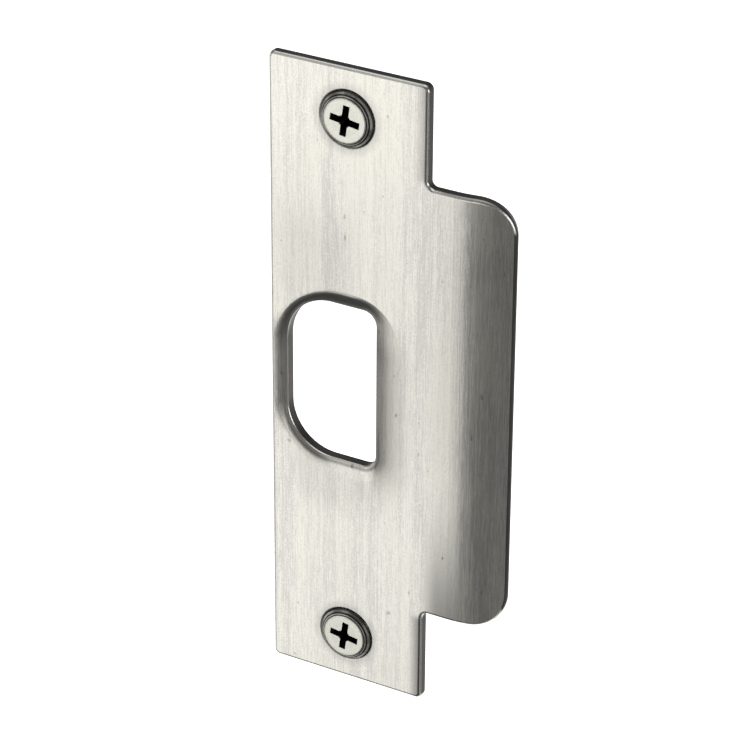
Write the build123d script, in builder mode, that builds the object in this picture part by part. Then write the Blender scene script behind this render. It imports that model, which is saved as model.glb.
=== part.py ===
"""Door strike plate: a T-shaped sheet with a bent lip, a D-shaped latch hole and two countersunk screws.

Millimetres. +Z runs up the plate, the back mounting face lies on y = 0, the front faces -Y, and the lip
leaves on the +X side and curves back towards +Y.
"""
import os
from math import cos, radians, sin, tan

from build123d import *

os.makedirs("parts", exist_ok=True)

# Plate outline
PLATE_HEIGHT = 123.825
PLATE_WIDTH = 31.75
SHEET = 1.8
PLATE_CORNER_R = 1.2
NOTCH_R = 1.2
FRONT_EDGE_R = 0.7

# Lip: flat beside the plate, then an arc, then a short straight end
TAB_HEIGHT = 19.05
LIP_REACH = 32.0
LIP_FLAT = 5.0
LIP_STRAIGHT = 2.2
LIP_ANGLE = 25.5
LIP_CORNER_R = 7.1

# Latch hole: large corners on the side far from the lip, small ones on the near side
HOLE_WIDTH = 18.2
HOLE_HEIGHT = 31.6
HOLE_X = -3.6
HOLE_FAR_R = 9.1
HOLE_NEAR_R = 2.7
HOLE_EDGE_R = 0.25

# Pressed rim of the latch hole: each row is a depth and how far outside the hole the rim lies at that
# depth, at the two ends, on the near side and on the far side
RIM_ROWS = (
    (-0.1, 3.2, 6.8, 2.9),
    (0.05, 2.6, 4.2, 2.4),
    (0.45, 1.0, 1.2, 0.9),
    (0.85, 0.0, 0.0, 0.0),
)
RIM_NEAR_GROWTH = 1.2
RIM_FAR_GROWTH = 2.1
RIM_RELIEF = 0.15

# Screw seats, dimpled into the sheet
SCREW_FROM_END = 9.525
SEAT_D = 10.8
SEAT_ANGLE = 82.0
SEAT_HOLE_D = 6.2
SEAT_BEHIND = 1.1
SEAT_SHOULDER_R = 0.6

# Screws
HEAD_CLEARANCE = 0.1
HEAD_FACE_D = 8.3
HEAD_PROUD = 1.0
HEAD_LAND = 0.15
FACE_CHAMFER = 0.15
SCREW_LENGTH = 12.7
THREAD_D = 5.49
POINT_CHAMFER = 0.6
RECESS_SPAN = 5.9
RECESS_WIDTH = 1.3
RECESS_CORNER_R = 0.5
RECESS_DEPTH = 2.3
FLOOR_SPAN = 2.6
FLOOR_WIDTH = 0.9
FLOOR_CORNER_R = 0.25
RECESS_TURN = -8.0

# Worked out from the sizes above
FRONT = -SHEET
HALF_WIDTH = PLATE_WIDTH / 2
HALF_HEIGHT = PLATE_HEIGHT / 2
HALF_LIP = HALF_HEIGHT - TAB_HEIGHT
LIP_TURN = radians(LIP_ANGLE)
LIP_BEND_START = HALF_WIDTH + LIP_FLAT
LIP_FRONT_R = (LIP_REACH - LIP_BEND_START - LIP_STRAIGHT * cos(LIP_TURN)) / sin(LIP_TURN)
RIM_DEPTH = RIM_ROWS[-1][0]
RIM_Y = FRONT + RIM_DEPTH
FACE_Y = FRONT - HEAD_PROUD
SCREW_HEIGHTS = (HALF_HEIGHT - SCREW_FROM_END, SCREW_FROM_END - HALF_HEIGHT)
SLOPE = tan(radians(SEAT_ANGLE / 2))
CUT_REACH = 10.0
TOUCH = 0.01


def facing_front(y, z=0.0):
    """A plane square to the depth, at y, with its sketch x along +X and its sketch y along +Z."""
    return Plane(origin=(0, y, z), x_dir=(1, 0, 0), z_dir=(0, -1, 0))


def turned(z, points):
    """Turns a half section of (radius, y) points round the screw line at height z."""
    with BuildSketch(Plane.XY.offset(z)) as section:
        Polygon(*points, align=None)
    return section.sketch


def bend_point(radius, y):
    """Where the bend ends, on the surface that it turns with this radius from this y."""
    return (LIP_BEND_START + radius * sin(LIP_TURN), y + radius * (1 - cos(LIP_TURN)))


def sheet_section():
    """The sheet seen from above: flat, bent, and straight again at the lip's end."""
    back_r = LIP_FRONT_R - SHEET
    bend_front = bend_point(LIP_FRONT_R, FRONT)
    bend_back = bend_point(back_r, 0)
    end_front = (LIP_REACH, bend_front[1] + LIP_STRAIGHT * sin(LIP_TURN))
    end_back = (LIP_REACH - SHEET * sin(LIP_TURN), end_front[1] + SHEET * cos(LIP_TURN))
    with BuildLine() as edge:
        Line((-HALF_WIDTH, FRONT), (LIP_BEND_START, FRONT))
        RadiusArc((LIP_BEND_START, FRONT), bend_front, -LIP_FRONT_R)
        Line(bend_front, end_front)
        Line(end_front, end_back)
        Line(end_back, bend_back)
        RadiusArc(bend_back, (LIP_BEND_START, 0), back_r)
        Line((LIP_BEND_START, 0), (-HALF_WIDTH, 0))
        Line((-HALF_WIDTH, 0), (-HALF_WIDTH, FRONT))
    make_face(edge.edges())


def t_outline(sketch):
    """The T seen from the front, with the plate's corners and the notches rounded."""
    past_lip = LIP_REACH + SHEET
    with BuildLine() as edge:
        Polyline(
            (-HALF_WIDTH, -HALF_HEIGHT),
            (HALF_WIDTH, -HALF_HEIGHT),
            (HALF_WIDTH, -HALF_LIP),
            (past_lip, -HALF_LIP),
            (past_lip, HALF_LIP),
            (HALF_WIDTH, HALF_LIP),
            (HALF_WIDTH, HALF_HEIGHT),
            (-HALF_WIDTH, HALF_HEIGHT),
            close=True,
        )
    make_face(edge.edges())
    fillet(sketch.vertices().group_by(Axis.Y)[0] + sketch.vertices().group_by(Axis.Y)[-1], PLATE_CORNER_R)
    notches = sketch.vertices().filter_by(lambda v: abs(v.X - HALF_WIDTH) < TOUCH)
    fillet(notches.filter_by(lambda v: abs(abs(v.Y) - HALF_LIP) < TOUCH), NOTCH_R)


def lip_waste():
    """What lies outside the lip's rounded corners, seen square to its end: the origin is mid-height there."""
    with Locations((0, HALF_LIP), (0, -HALF_LIP)):
        Rectangle(2 * LIP_CORNER_R, 2 * LIP_CORNER_R)
    with Locations((-LIP_CORNER_R, HALF_LIP - LIP_CORNER_R), (-LIP_CORNER_R, LIP_CORNER_R - HALF_LIP)):
        Circle(LIP_CORNER_R, mode=Mode.SUBTRACT)


def d_outline(ends=0.0, near=0.0, far=0.0):
    """The latch hole's D, widened by so much at its two ends, on its near side and on its far side."""
    left = HOLE_X - HOLE_WIDTH / 2 - far
    right = HOLE_X + HOLE_WIDTH / 2 + near
    top = HOLE_HEIGHT / 2 + ends
    far_r = HOLE_FAR_R + RIM_FAR_GROWTH * far
    near_r = HOLE_NEAR_R + RIM_NEAR_GROWTH * near
    with BuildLine() as edge:
        Line((left + far_r, top), (right - near_r, top))
        RadiusArc((right - near_r, top), (right, top - near_r), near_r)
        Line((right, top - near_r), (right, near_r - top))
        RadiusArc((right, near_r - top), (right - near_r, -top), near_r)
        Line((right - near_r, -top), (left + far_r, -top))
        RadiusArc((left + far_r, -top), (left, far_r - top), far_r)
        Line((left, far_r - top), (left, top - far_r))
        RadiusArc((left, top - far_r), (left + far_r, top), far_r)
    make_face(edge.edges())


def pressed_rim(y, relief=0.0):
    """The rim's outlines at each depth behind y, ready to be lofted."""
    outlines = []
    for depth, ends, near, far in RIM_ROWS:
        with BuildSketch(facing_front(y + depth)) as outline:
            d_outline(ends + relief, near + relief, far + relief)
        outlines.append(outline.sketch.face())
    return outlines


def seat_sections():
    """Half sections of a screw seat: the dimple's outside, and the funnel and hole cut into it."""
    seat_r = SEAT_D / 2
    hole_r = SEAT_HOLE_D / 2
    outside_r = seat_r + SHEET / cos(radians(SEAT_ANGLE / 2)) - SHEET * SLOPE
    dimple = [
        (0, FRONT / 2),
        (outside_r - FRONT / 2 * SLOPE, FRONT / 2),
        (outside_r - SEAT_BEHIND * SLOPE, SEAT_BEHIND),
        (0, SEAT_BEHIND),
    ]
    funnel = [
        (0, FRONT - CUT_REACH),
        (seat_r + CUT_REACH * SLOPE, FRONT - CUT_REACH),
        (hole_r, FRONT + (seat_r - hole_r) / SLOPE),
        (hole_r, CUT_REACH),
        (0, CUT_REACH),
    ]
    return dimple, funnel


def screw_section():
    """A screw's half section, from its face down its cone and shank to its point."""
    head_r = SEAT_D / 2 - HEAD_CLEARANCE
    thread_r = THREAD_D / 2
    point = FACE_Y + SCREW_LENGTH
    return [
        (0, FACE_Y),
        (HEAD_FACE_D / 2, FACE_Y),
        (head_r, FRONT - HEAD_LAND),
        (head_r, FRONT),
        (thread_r, FRONT + (head_r - thread_r) / SLOPE),
        (thread_r, point - POINT_CHAMFER),
        (thread_r - POINT_CHAMFER, point),
        (0, point),
    ]


def cross(sketch, span, width, corner_r):
    """The recess's cross, turned as the screw stopped, with its inner corners rounded."""
    Rectangle(span, width, rotation=RECESS_TURN)
    Rectangle(width, span, rotation=RECESS_TURN)
    fillet(sketch.vertices().sort_by_distance((0, 0))[:4], corner_r)


with BuildPart() as strike_plate:
    # the bent sheet at full height, trimmed to the T, and its lip rounded square to the lip's end
    with BuildSketch(Plane.XY.offset(-HALF_HEIGHT)):
        sheet_section()
    extrude(amount=PLATE_HEIGHT)
    with BuildSketch(facing_front(-CUT_REACH)) as t_shape:
        t_outline(t_shape)
    extrude(amount=-2 * CUT_REACH, mode=Mode.INTERSECT)
    bend_end, bend_end_y = bend_point(LIP_FRONT_R, FRONT)
    lip_end = (LIP_REACH, bend_end_y + LIP_STRAIGHT * sin(LIP_TURN), 0)
    along_lip = (cos(LIP_TURN), sin(LIP_TURN), 0)
    off_lip = (sin(LIP_TURN), -cos(LIP_TURN), 0)
    with BuildSketch(Plane(lip_end, x_dir=along_lip, z_dir=off_lip)):
        lip_waste()
    extrude(amount=CUT_REACH, both=True, mode=Mode.SUBTRACT)

    # the front's outer edges, softened all the way round, but not its two seams at the bend
    fronts = strike_plate.faces().filter_by(lambda f: f.normal_at().Y < -0.8)
    outer = ShapeList(edge for front in fronts for edge in front.outer_wire().edges())
    for seam in (LIP_BEND_START, bend_end):
        outer = outer.filter_by(lambda e: abs(e.center().X - seam) > TOUCH)
    fillet(outer.sort_by(Axis.X), FRONT_EDGE_R)

    # the rim pressed back around the latch hole, and the hole
    loft(pressed_rim(0, RIM_RELIEF))
    loft(pressed_rim(FRONT), mode=Mode.SUBTRACT)
    with BuildSketch(facing_front(-CUT_REACH)):
        d_outline()
    extrude(amount=-2 * CUT_REACH, mode=Mode.SUBTRACT)
    rim_edges = strike_plate.edges().filter_by_position(Axis.Y, RIM_Y - TOUCH, RIM_Y + TOUCH)
    fillet(rim_edges.filter_by_position(Axis.X, -HALF_WIDTH + SHEET, HALF_WIDTH), HOLE_EDGE_R)

    # the two dimples, and the seats cut into them from the front
    dimple, funnel = seat_sections()
    for z in SCREW_HEIGHTS:
        revolve(turned(z, dimple), axis=Axis((0, 0, z), (0, 1, 0)))
        revolve(turned(z, funnel), axis=Axis((0, 0, z), (0, 1, 0)), mode=Mode.SUBTRACT)
    on_front = strike_plate.edges().filter_by_position(Axis.Y, FRONT - TOUCH, FRONT + TOUCH)
    seat_edges = on_front.filter_by(GeomType.CIRCLE).filter_by(lambda e: abs(e.radius - SEAT_D / 2) < TOUCH)
    fillet(seat_edges, SEAT_SHOULDER_R)

strike_plate.part.label = "strike_plate"
export_step(strike_plate.part, "parts/strike_plate.step")

for name, z in zip(("upper_screw", "lower_screw"), SCREW_HEIGHTS):
    with BuildPart() as screw:
        # the head, its cone and the shank
        revolve(turned(z, screw_section()), axis=Axis((0, 0, z), (0, 1, 0)))
        face_rim = screw.edges().filter_by(GeomType.CIRCLE).sort_by(Axis.Y)[0]
        chamfer(face_rim, FACE_CHAMFER)

        # the cross recess, narrowing towards its floor
        with BuildSketch(facing_front(FACE_Y, z)) as mouth:
            cross(mouth, RECESS_SPAN, RECESS_WIDTH, RECESS_CORNER_R)
        with BuildSketch(facing_front(FACE_Y + RECESS_DEPTH, z)) as floor:
            cross(floor, FLOOR_SPAN, FLOOR_WIDTH, FLOOR_CORNER_R)
        loft(mode=Mode.SUBTRACT)
    screw.part.label = name
    export_step(screw.part, f"parts/{name}.step")
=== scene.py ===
"""Looks of a door strike plate: brushed plate, two cross-recess screws, pale floor and soft studio light."""

from math import radians, tau

import bmesh
import bpy
from mathutils import Matrix, Vector


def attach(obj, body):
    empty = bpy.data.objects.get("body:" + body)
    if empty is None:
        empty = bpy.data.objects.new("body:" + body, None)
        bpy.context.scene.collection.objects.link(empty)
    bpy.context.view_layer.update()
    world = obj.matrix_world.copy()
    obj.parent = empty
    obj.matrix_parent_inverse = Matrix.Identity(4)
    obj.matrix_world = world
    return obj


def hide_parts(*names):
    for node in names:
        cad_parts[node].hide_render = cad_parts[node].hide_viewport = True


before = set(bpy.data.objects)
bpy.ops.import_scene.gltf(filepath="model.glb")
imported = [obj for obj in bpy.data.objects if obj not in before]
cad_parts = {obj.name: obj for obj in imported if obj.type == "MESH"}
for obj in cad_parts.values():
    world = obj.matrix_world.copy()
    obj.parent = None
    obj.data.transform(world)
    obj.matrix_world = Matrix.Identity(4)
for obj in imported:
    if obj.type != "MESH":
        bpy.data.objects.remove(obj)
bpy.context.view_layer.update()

MM = 0.001

# The plate and its screws as in the solids, in mm, for the shading
SCREW_HEIGHTS = {"upper_screw": 52.3875, "lower_screw": -52.3875}
SCREW_FACE_Y = -2.8
SCREW_FACE_R = 4.15
RIM = {"far_x": -15.27, "near_x": 10.57, "half_z": 18.6, "far_r": 14.49, "near_r": 8.78}
HOLE = {"far_x": -12.7, "near_x": 5.5, "half_z": 15.8, "far_r": 9.1, "near_r": 2.7}
LIP_CORNER_Z = (36.5, 37.5)
PLATE_RELIEF = 0.009
SCREW_RELIEF = 0.01

# Colours of the bare metals, with those of the painted shade and painted highlights on them
PLATE_GREY = (0.66, 0.648, 0.6, 1)
PLATE_BRIGHT = (0.97, 0.952, 0.872, 1)
PLATE_WARM = (0.85, 0.83, 0.72, 1)
# Dull grey for real pits and for painted shade on the face
PLATE_PITS_AND_SHADE = (0.25, 0.245, 0.23, 1)
# Edge colours for the cut walls, and for painted shade on the lip's edges
EDGE_DARK = (0.05, 0.048, 0.045, 1)
EDGE_GREY = (0.17, 0.165, 0.155, 1)
# Lighter edge colour, painted light on the hole's far wall
EDGE_LIT = (0.36, 0.355, 0.335, 1)
# Bright colour for wear on the eased edges and for a painted highlight there
EDGE_WORN_HIGHLIGHT = (0.95, 0.94, 0.9, 1)
SCREW_GREY = (0.66, 0.656, 0.585, 1)
SCREW_BRIGHT = (0.9, 0.892, 0.8, 1)
# Painted shade and painted highlight colours for the screw heads' sides
SIDE_SHADE = (0.1, 0.1, 0.09, 1)
SIDE_HIGHLIGHT = (0.95, 0.94, 0.88, 1)
# Near-black painted shade, in the cross recess and in the dark rings on the heads' sides
SHADE_BLACK = (0.01, 0.01, 0.009, 1)
RECESS_SHADE_GREY = (0.05, 0.05, 0.042, 1)
WHITE = (1, 1, 1, 1)
FLOOR_GREY = (0.8, 0.8, 0.8, 1)

# Screw shank and thread, in metres
CONE_END_Y = 1.1391 * MM
CORE_START_Y = CONE_END_Y - 0.3 * MM
CUT_Y = CONE_END_Y - 0.02 * MM
POINT_Y = 9.9 * MM
POINT_CHAMFER = 0.6 * MM
THREAD_END_Y = POINT_Y - 0.35 * MM
THREAD_R = 2.74 * MM
THREAD_ROOT_R = 2.1 * MM
RIDGE_INSIDE_R = THREAD_ROOT_R - 0.15 * MM
THREAD_PITCH = 1.058 * MM
THREAD_STEPS = 40
RUN_OUT_STEPS = 8
RIDGE_HALF = THREAD_PITCH * 0.47
CREST_HALF = THREAD_PITCH * 0.12 / 2
SHARP_ANGLE = radians(12)
WELD = 0.0005 * MM
ON_PLANE = 0.0001 * MM

# Camera, fitted to the photograph
CAMERA_AT = Vector((258.505, -452.712, 283.003)) * MM
CAMERA_AIM = Vector((2.41, 1.65, 2.94)) * MM
CAMERA_ROLL = radians(0.298)
LENS = 161.452
SENSOR = 36.0
NEAR_LIMIT = 0.05

# Studio
FLOOR_Z = -0.16
FLOOR_HALF = 2.0
FLOOR_GLOW = 0.75
LAMP_AT = Vector((-0.3, -0.4, 0.8))
LAMP_SIZE = 0.8
LAMP_WATTS = 12
ROOM_LEVEL = 0.15
# Soft panels: bearing from and to, elevation from and to, width of the soft edge (all in degrees), level
PANELS = {
    "key": ((-43, -17.5), (-41, 8), 6, 1.07),
    "key_side": ((-46, -31), (-38, 8), 6, 0.1),
    "upper": ((-50, -18), (10, 50), 10, 0.35),
    "far_left": ((-125, -48), (-38, 8), 8, 0.35),
    "low_side": ((44, 62), (-38, -18), 8, 0.5),
    "low_right": ((-17, 10), (-18, 8), 8, 0.7),
    "rim_light": ((58, 84), (-14, 16), 6, 2.2),
    "overhead": ((-180, 180), (58, 95), 16, 0.85),
}

# Sockets whose names others of their node share, by number
RANGE_LOW, RANGE_HIGH = 1, 2
MIX_SHARE, MIX_FIRST, MIX_SECOND = 0, 6, 7
MIX_COLOUR = 2


class Signal:
    """One number or vector inside a finish, which adds Math nodes when it is used in an expression."""

    def __init__(self, finish, socket):
        self.finish = finish
        self.socket = socket

    def math(self, operation, *values):
        return self.finish.node("ShaderNodeMath", {"operation": operation}, dict(enumerate(values)))

    def __add__(self, other):
        return self.math("ADD", self, other)

    def __sub__(self, other):
        return self.math("SUBTRACT", self, other)

    def __rsub__(self, other):
        return self.math("SUBTRACT", other, self)

    def __mul__(self, other):
        return self.math("MULTIPLY", self, other)

    def __truediv__(self, other):
        return self.math("DIVIDE", self, other)

    def __abs__(self):
        return self.math("ABSOLUTE", self)

    def larger(self, other):
        return self.math("MAXIMUM", self, other)

    def rises(self, low, high):
        """0 below low, 1 above high, and smooth between."""
        settings = {"interpolation_type": "SMOOTHSTEP"}
        return self.finish.node("ShaderNodeMapRange", settings, {"Value": self, RANGE_LOW: low, RANGE_HIGH: high})

    def falls(self, low, high):
        """1 below low, 0 above high, and smooth between."""
        return 1 - self.rises(low, high)

    def between(self, start, full, fade, end):
        """1 from full to fade, 0 before start and past end, and smooth between."""
        return self.rises(start, full) * self.falls(fade, end)

    def near(self, middle, full, end):
        """1 up to full away from the middle, 0 past end away from it, and smooth between."""
        return abs(self - middle).falls(full, end)


class Finish:
    """A node tree that is built from expressions."""

    def __init__(self, tree):
        self.tree = tree
        self.tree.nodes.clear()

    def node(self, kind, settings=None, sockets=None, output=0):
        """Adds a node, sets its settings first, and then its sockets to values or links."""
        made = self.tree.nodes.new(kind)
        for name, value in (settings or {}).items():
            setattr(made, name, value)
        for name, value in (sockets or {}).items():
            if isinstance(value, Signal):
                self.tree.links.new(value.socket, made.inputs[name])
            else:
                made.inputs[name].default_value = value
        return Signal(self, made.outputs[output] if made.outputs else None)

    def parts(self, vector):
        """The x, y and z of a vector."""
        split = self.node("ShaderNodeSeparateXYZ", None, {"Vector": vector}).socket.node
        return [Signal(self, socket) for socket in split.outputs]

    def place(self):
        """The point that is shaded, in metres, as the noises take it."""
        return self.node("ShaderNodeTexCoord", output="Object")

    def millimetres(self, place):
        """The x, y and z of a place, in mm."""
        return [part / MM for part in self.parts(place)]

    def noise(self, vector, scale, upright=1.0, detail=2.0, rough=0.5):
        """Noise from 0 to 1, with its features drawn out along z."""
        drawn = self.node("ShaderNodeMapping", None, {"Vector": vector, "Scale": (1, 1, 1 / upright)})
        sockets = {"Vector": drawn, "Scale": scale, "Detail": detail, "Roughness": rough}
        return self.node("ShaderNodeTexNoise", {"noise_dimensions": "3D"}, sockets)

    def blend(self, share, first, second):
        """A colour between two."""
        sockets = {MIX_SHARE: share, MIX_FIRST: first, MIX_SECOND: second}
        return self.node("ShaderNodeMix", {"data_type": "RGBA"}, sockets, output=MIX_COLOUR)


def new_finish(name):
    material = bpy.data.materials.new(name)
    material.use_nodes = True
    return material, Finish(material.node_tree)


def metal(finish, base, rough, height, relief, anisotropic):
    """A bare metal surface with its colour, roughness and fine relief, whose depth is in mm."""
    sockets = {"Strength": 1.0, "Distance": relief * MM, "Height": height}
    bump = finish.node("ShaderNodeBump", None, sockets, output="Normal")
    sockets = {
        "Base Color": base,
        "Metallic": 1.0,
        "Roughness": rough,
        "Anisotropic": anisotropic,
        "Normal": bump,
    }
    shader = finish.node("ShaderNodeBsdfPrincipled", None, sockets)
    finish.node("ShaderNodeOutputMaterial", None, {"Surface": shader})


def length(across, up):
    """The length of a step across and a step up."""
    squared = across * across + up * up
    return squared.math("SQRT", squared)


def past_corner(across, up, radius):
    """How far a point lies outside a rounded corner, from its distances past the corner's two centre lines."""
    return length(across.larger(0.0), up.larger(0.0)) - radius


def past_outline(x, z, far_x, near_x, half_z, far_r, near_r):
    """How far a point lies outside a D-shaped outline, negative within it. The far side has the larger corners."""
    far = past_corner(far_x + far_r - x, abs(z) - half_z + far_r, far_r)
    near = past_corner(x - near_x + near_r, abs(z) - half_z + near_r, near_r)
    return far.larger(near)


def painted_shade_places(x, z, past_rim, past_hole):
    """How much painted shade darkens the plate's face from place to place: beside, above and below the hole, at
    the top of the rim, at the bend, by the tabs and the lip, and round the screw heads.
    """
    near_side = x.between(5.3, 5.7, 6.2, 15) * z.near(-3, 10, 20)
    far_side = x.falls(-13.5, -12.5) * z.near(-1.5, 6, 15)
    below_hole = x.near(-2, 6, 13) * z.near(-20, 2, 9)
    above_hole = x.near(-6, 5, 11) * z.near(24, 4, 13)
    low_bend = x.between(14.5, 19, 22.5, 26) * z.falls(-50, -12)
    tab_side = x.rises(12.8, 15.4) * abs(z).rises(43, 45) * (z.falls(-45, -40) * 0.2 + 0.6)
    towards_lip = x.rises(-16, 12) * (z.falls(-45, -5) * 0.07 + 0.03)
    mid_height = z.near(12, 16, 46)
    round_head = length(x, abs(z) - SCREW_HEIGHTS["upper_screw"]).falls(5.2, 7.6)
    by_lip = x.between(14, 21, 21, 24)
    top_rim = past_rim.falls(-0.9, 0.3) * z.rises(2, 14) * x.falls(4, 9)
    top_rim = top_rim * (1 - past_rim.falls(-2.6, -1.3) * 0.4)
    low_hole_line = past_hole.between(0.4, 0.6, 0.75, 1.2) * z.falls(-13, -5)
    beside = near_side * 0.56 + far_side * 0.15 + below_hole * 0.15 + above_hole * 0.13
    outer = low_bend * 0.75 + tab_side + towards_lip + mid_height * 0.13 + round_head * 0.35 + by_lip * 0.2
    return beside + outer + top_rim * 0.85 + low_hole_line * 0.45


def rim_roll(x, z, past_rim):
    """Depth in mm by which the shading rounds off the rim's outer line, most on the side away from the lip."""
    reach = x.falls(-14, -11.5) * abs(z).falls(8, 16) * 0.9 + 0.6
    within = (reach - abs(past_rim)).larger(0.0)
    return within * within / reach * -0.068 * x.falls(0, 6)


def brushed_plate_finish():
    """Satin plate: an upright brushed grain, dark cut edges, wear-brightened corners with a painted highlight,
    painted shade on the face and at the lip's edges, and a softly rolled rim.
    """
    material, finish = new_finish("brushed_plate")
    place = finish.place()
    hair = finish.noise(place, 4600, 16, 2.0, 0.6)
    long_hair = finish.noise(place, 2600, 60)
    band = finish.noise(place, 330, 40)
    cloud = finish.noise(place, 85, 1.7, 3.0, 0.55)
    speckle = finish.noise(place, 4700, 1.5, 1.0)
    pit = finish.noise(place, 1250, 2.4, 0.0).rises(0.81, 0.85)

    x, _, z = finish.millimetres(place)
    past_rim = past_outline(x, z, **RIM)
    past_hole = past_outline(x, z, **HOLE)
    facing = abs(finish.parts(finish.node("ShaderNodeNewGeometry", output="Normal"))[1])

    # Painted shade: the lip's end, its edges and its top edge take the cut walls' dark colour; the cut walls are
    # darker and rougher, partly as painted shade
    lip_end_shade = x.rises(30.7, 31.05) * facing.falls(0.86, 0.893) * z.falls(*LIP_CORNER_Z)
    lip_edge_shade = x.rises(17, 20) * facing.falls(0.45, 0.62)
    lip_top_shade = x.rises(17, 20) * x.falls(27.5, 29) * z.rises(38, 40) * facing.falls(0.78, 0.87)
    sheared_and_shaded_edges = facing.falls(0.15, 0.4).larger(lip_end_shade.larger(lip_edge_shade + lip_top_shade))
    # Wear on the eased edges, brightened further as a painted highlight; not at the lip's end
    worn_highlit_edges = facing.between(0.3, 0.5, 0.82, 0.88) * (1 - lip_end_shade)
    # Painted light: the hole's far wall gets a lighter edge colour, as if lit
    painted_light_far_wall = x.between(-13.4, -13.1, -12.2, -11.6) * z.near(3, 8, 12)

    streak = hair * 0.6 + long_hair * 0.4
    tone = (streak - 0.5) * 2.3 + (band - 0.5) + (cloud - 0.5) * 0.5 + (speckle - 0.5) * 0.9 + 0.5
    brushed = finish.blend(tone.rises(0, 1), PLATE_GREY, PLATE_BRIGHT)
    tinted = finish.blend((band + cloud - 0.8).rises(0, 0.4) * 0.35, brushed, PLATE_WARM)
    # Real pits and painted shade both darken the face towards one dull grey
    face = finish.blend(pit * 0.4 + painted_shade_places(x, z, past_rim, past_hole), tinted, PLATE_PITS_AND_SHADE)
    edge = finish.blend(painted_light_far_wall * 0.3, finish.blend(cloud, EDGE_DARK, EDGE_GREY), EDGE_LIT)
    base = finish.blend(worn_highlit_edges * 0.5, finish.blend(sheared_and_shaded_edges, face, edge), EDGE_WORN_HIGHLIGHT)
    rough = streak * 0.07 + cloud * 0.05 + sheared_and_shaded_edges * 0.15 + 0.2
    height = streak - pit * 0.5 + rim_roll(x, z, past_rim) / PLATE_RELIEF
    metal(finish, base, rough, height, PLATE_RELIEF, 0.4)
    return material


def screw_finish(name, height):
    """Satin screw: a fine flat face, a side with rings of painted shade and painted highlight, a bare thread and a
    recess painted black as shade.
    """
    material, finish = new_finish(name)
    place = finish.place()
    x, y, z = finish.millimetres(place)
    reach = length(x, z - height)
    turned = finish.noise(finish.node("ShaderNodeCombineXYZ", None, {"X": reach, "Y": y}), 4200 * MM)
    grain = finish.noise(place, 1500, 1, 3.0, 0.6)
    speckle = finish.noise(place, 5200, 1, 1.0)
    glint = finish.noise(place, 380).rises(0.42, 0.6)
    uneven = reach + (grain - 0.5) * 0.12

    # Painted shade: the cross recess is coloured near black
    recess = y.between(SCREW_FACE_Y + 0.02, SCREW_FACE_Y + 0.14, -0.3, 0) * reach.falls(3.3, 3.6)
    side = reach.rises(SCREW_FACE_R + 0.02, SCREW_FACE_R + 0.12) * y.falls(-1.7, -1.5)
    # Painted shade and painted highlights: dark and bright rings on the head's side, the bright ones with glints
    shade_rings = uneven.between(4.14, 4.2, 4.26, 4.36) + uneven.between(4.58, 4.64, 4.68, 4.78)
    inner_highlight_ring = uneven.between(4.36, 4.44, 4.5, 4.6) * (glint * 0.4 + 0.6)
    outer_highlight_ring = uneven.between(4.78, 4.86, 5.08, 5.18) * (glint * 0.5 + 0.2)

    tone = turned * 0.3 + grain * 0.4 + speckle * 0.3
    face = finish.blend(tone.rises(0.3, 0.7), SCREW_GREY, SCREW_BRIGHT)
    side_shade_and_highlights = finish.blend(inner_highlight_ring + outer_highlight_ring, SIDE_SHADE, SIDE_HIGHLIGHT)
    flank = finish.blend(shade_rings * 0.9, side_shade_and_highlights, SHADE_BLACK)
    recess_shade_colour = finish.blend(grain.rises(0.5, 0.8), SHADE_BLACK, RECESS_SHADE_GREY)
    base = finish.blend(recess, finish.blend(side, face, flank), recess_shade_colour)
    rough = grain * 0.12 + recess * 0.4 + 0.27
    metal(finish, base, rough, (turned + grain) * 0.5, SCREW_RELIEF, 0.0)
    return material


def object_from(shape, name):
    """Turns a bmesh into an object of the scene."""
    mesh = bpy.data.meshes.new(name)
    shape.to_mesh(mesh)
    shape.free()
    piece = bpy.data.objects.new(name, mesh)
    bpy.context.scene.collection.objects.link(piece)
    return piece


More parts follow.
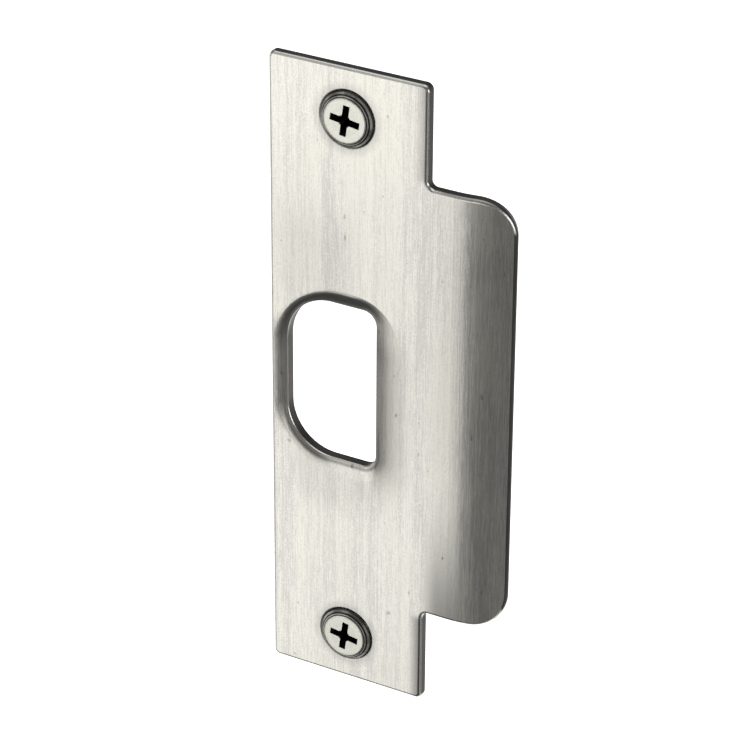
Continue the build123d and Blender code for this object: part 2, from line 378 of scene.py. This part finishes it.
def threaded_shank(shape, height):
    """Adds a core behind the head and a helical ridge that sinks into it near the point, both closed."""
    centre = Vector((0, 0, height))
    core = [
        (0, CORE_START_Y),
        (THREAD_ROOT_R, CORE_START_Y),
        (THREAD_ROOT_R, POINT_Y - POINT_CHAMFER),
        (THREAD_ROOT_R - POINT_CHAMFER, POINT_Y),
        (0, POINT_Y),
    ]
    verts = [shape.verts.new((r, y, height)) for r, y in core]
    edges = [shape.edges.new(pair) for pair in zip(verts, verts[1:])]
    bmesh.ops.spin(shape, geom=verts + edges, cent=centre, axis=(0, 1, 0), angle=tau, steps=THREAD_STEPS,
                   use_merge=True)

    first = CONE_END_Y + RIDGE_HALF * 0.4
    ridge = [
        (RIDGE_INSIDE_R, first - RIDGE_HALF),
        (THREAD_ROOT_R, first - RIDGE_HALF),
        (THREAD_R, first - CREST_HALF),
        (THREAD_R, first + CREST_HALF),
        (THREAD_ROOT_R, first + RIDGE_HALF),
        (RIDGE_INSIDE_R, first + RIDGE_HALF),
    ]
    face = shape.faces.new([shape.verts.new((r, y, height)) for r, y in ridge])
    turns = (THREAD_END_Y - CONE_END_Y) / THREAD_PITCH - 0.5
    steps = int(THREAD_STEPS * turns) - RUN_OUT_STEPS
    rise = (0, THREAD_PITCH / THREAD_STEPS, 0)
    made = bmesh.ops.spin(shape, geom=[face], cent=centre, axis=(0, 1, 0), dvec=rise,
                          angle=tau * steps / THREAD_STEPS, steps=steps, use_duplicate=False)
    sink = (THREAD_ROOT_R / THREAD_R) ** (1 / RUN_OUT_STEPS)
    for _ in range(RUN_OUT_STEPS):
        made = bmesh.ops.spin(shape, geom=made["geom_last"], cent=centre, axis=(0, 1, 0), dvec=rise,
                              angle=tau / THREAD_STEPS, steps=1, use_duplicate=False)
        end_verts = [part for part in made["geom_last"] if isinstance(part, bmesh.types.BMVert)]
        bmesh.ops.scale(shape, vec=(sink, 1, sink), space=Matrix.Translation(-centre), verts=end_verts)


def screw(name):
    """The solid's head, with a cut thread in place of its plain shank."""
    shape = bmesh.new()
    shape.from_mesh(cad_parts[name].data)
    bmesh.ops.remove_doubles(shape, verts=shape.verts, dist=WELD)
    bmesh.ops.bisect_plane(shape, geom=shape.verts[:] + shape.edges[:] + shape.faces[:], dist=ON_PLANE,
                           plane_co=(0, CUT_Y, 0), plane_no=(0, 1, 0), clear_outer=True)
    bmesh.ops.holes_fill(shape, edges=[edge for edge in shape.edges if edge.is_boundary])
    threaded_shank(shape, SCREW_HEIGHTS[name] * MM)
    bmesh.ops.recalc_face_normals(shape, faces=shape.faces)
    piece = object_from(shape, name + "_dressed")
    for polygon in piece.data.polygons:
        polygon.use_smooth = True
    piece.data.set_sharp_from_angle(angle=SHARP_ANGLE)
    piece.data.materials.append(screw_finish(name + "_satin", SCREW_HEIGHTS[name]))
    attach(piece, "root")
    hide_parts(name)


def dress_plate():
    """Gives the plate its finish. Its shape stays the solid's."""
    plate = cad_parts["strike_plate"]
    plate.data.materials.clear()
    plate.data.materials.append(brushed_plate_finish())


def floor():
    """A wide pale floor, which shows white where no shadow falls."""
    shape = bmesh.new()
    bmesh.ops.create_grid(shape, x_segments=1, y_segments=1, size=FLOOR_HALF)
    bmesh.ops.translate(shape, verts=shape.verts, vec=(0, 0, FLOOR_Z))
    piece = object_from(shape, "floor")
    material, finish = new_finish("pale_floor")
    matt = finish.node("ShaderNodeBsdfDiffuse", None, {"Color": FLOOR_GREY})
    glow = finish.node("ShaderNodeEmission", None, {"Color": WHITE, "Strength": FLOOR_GLOW})
    glowing = finish.node("ShaderNodeAddShader", None, {0: matt, 1: glow})
    seen = finish.node("ShaderNodeLightPath", output="Is Camera Ray")
    shader = finish.node("ShaderNodeMixShader", None, {0: seen, 1: matt, 2: glowing})
    finish.node("ShaderNodeOutputMaterial", None, {"Surface": shader})
    piece.data.materials.append(material)
    piece.visible_glossy = False


def panel(direction, across, up, soft):
    """A soft-edged light panel of the studio, between two bearings and two elevations in degrees."""
    x, y, z = direction
    bearing = x.math("ARCTAN2", x, 0 - y)
    elevation = z.math("ARCSINE", z)
    half = radians(soft) / 2
    left, right, low, high = (radians(angle) for angle in across + up)
    sides = bearing.between(left - half, left + half, right - half, right + half)
    return sides * elevation.between(low - half, low + half, high - half, high + half)


def studio_walls():
    """White to the camera; to the object, a dim room with soft panels and a broad light behind it."""
    world = bpy.data.worlds.new("studio")
    bpy.context.scene.world = world
    world.use_nodes = True
    finish = Finish(world.node_tree)
    direction = finish.parts(finish.node("ShaderNodeTexCoord", output="Generated"))
    x, y, z = direction
    behind = y.rises(-0.22, 0.02) * z.falls(0.1, 0.35) * x.falls(0.7, 0.9)
    strength = behind * (z.falls(-0.7, -0.45) * 0.45 + 0.5) + ROOM_LEVEL
    for across, up, soft, level in PANELS.values():
        strength = strength + panel(direction, across, up, soft) * level
    seen = finish.node("ShaderNodeLightPath", output="Is Camera Ray")
    shown = seen + (1 - seen) * strength
    backdrop = finish.node("ShaderNodeBackground", None, {"Color": WHITE, "Strength": shown})
    finish.node("ShaderNodeOutputWorld", None, {"Surface": backdrop})


def overhead_lamp():
    """A square soft lamp above the front, turned to the plate."""
    data = bpy.data.lights.new("overhead_lamp", "AREA")
    data.shape = "SQUARE"
    data.size = LAMP_SIZE
    data.energy = LAMP_WATTS
    light = bpy.data.objects.new("overhead_lamp", data)
    light.location = LAMP_AT
    light.rotation_euler = (-LAMP_AT).to_track_quat("-Z", "Y").to_euler()
    light.visible_camera = False
    light.visible_glossy = False
    bpy.context.scene.collection.objects.link(light)


def camera():
    """The photograph's camera, from the upper right of the plate's front."""
    data = bpy.data.cameras.new("camera")
    data.lens = LENS
    data.sensor_width = SENSOR
    data.clip_start = NEAR_LIMIT
    camera_object = bpy.data.objects.new("camera", data)
    turn = (CAMERA_AIM - CAMERA_AT).to_track_quat("-Z", "Y").to_matrix().to_4x4()
    camera_object.matrix_world = Matrix.Translation(CAMERA_AT) @ turn @ Matrix.Rotation(CAMERA_ROLL, 4, "Z")
    bpy.context.scene.collection.objects.link(camera_object)
    bpy.context.scene.camera = camera_object


dress_plate()
for screw_name in SCREW_HEIGHTS:
    screw(screw_name)
floor()
studio_walls()
overhead_lamp()
camera()
bpy.context.scene.view_settings.view_transform = "Standard"
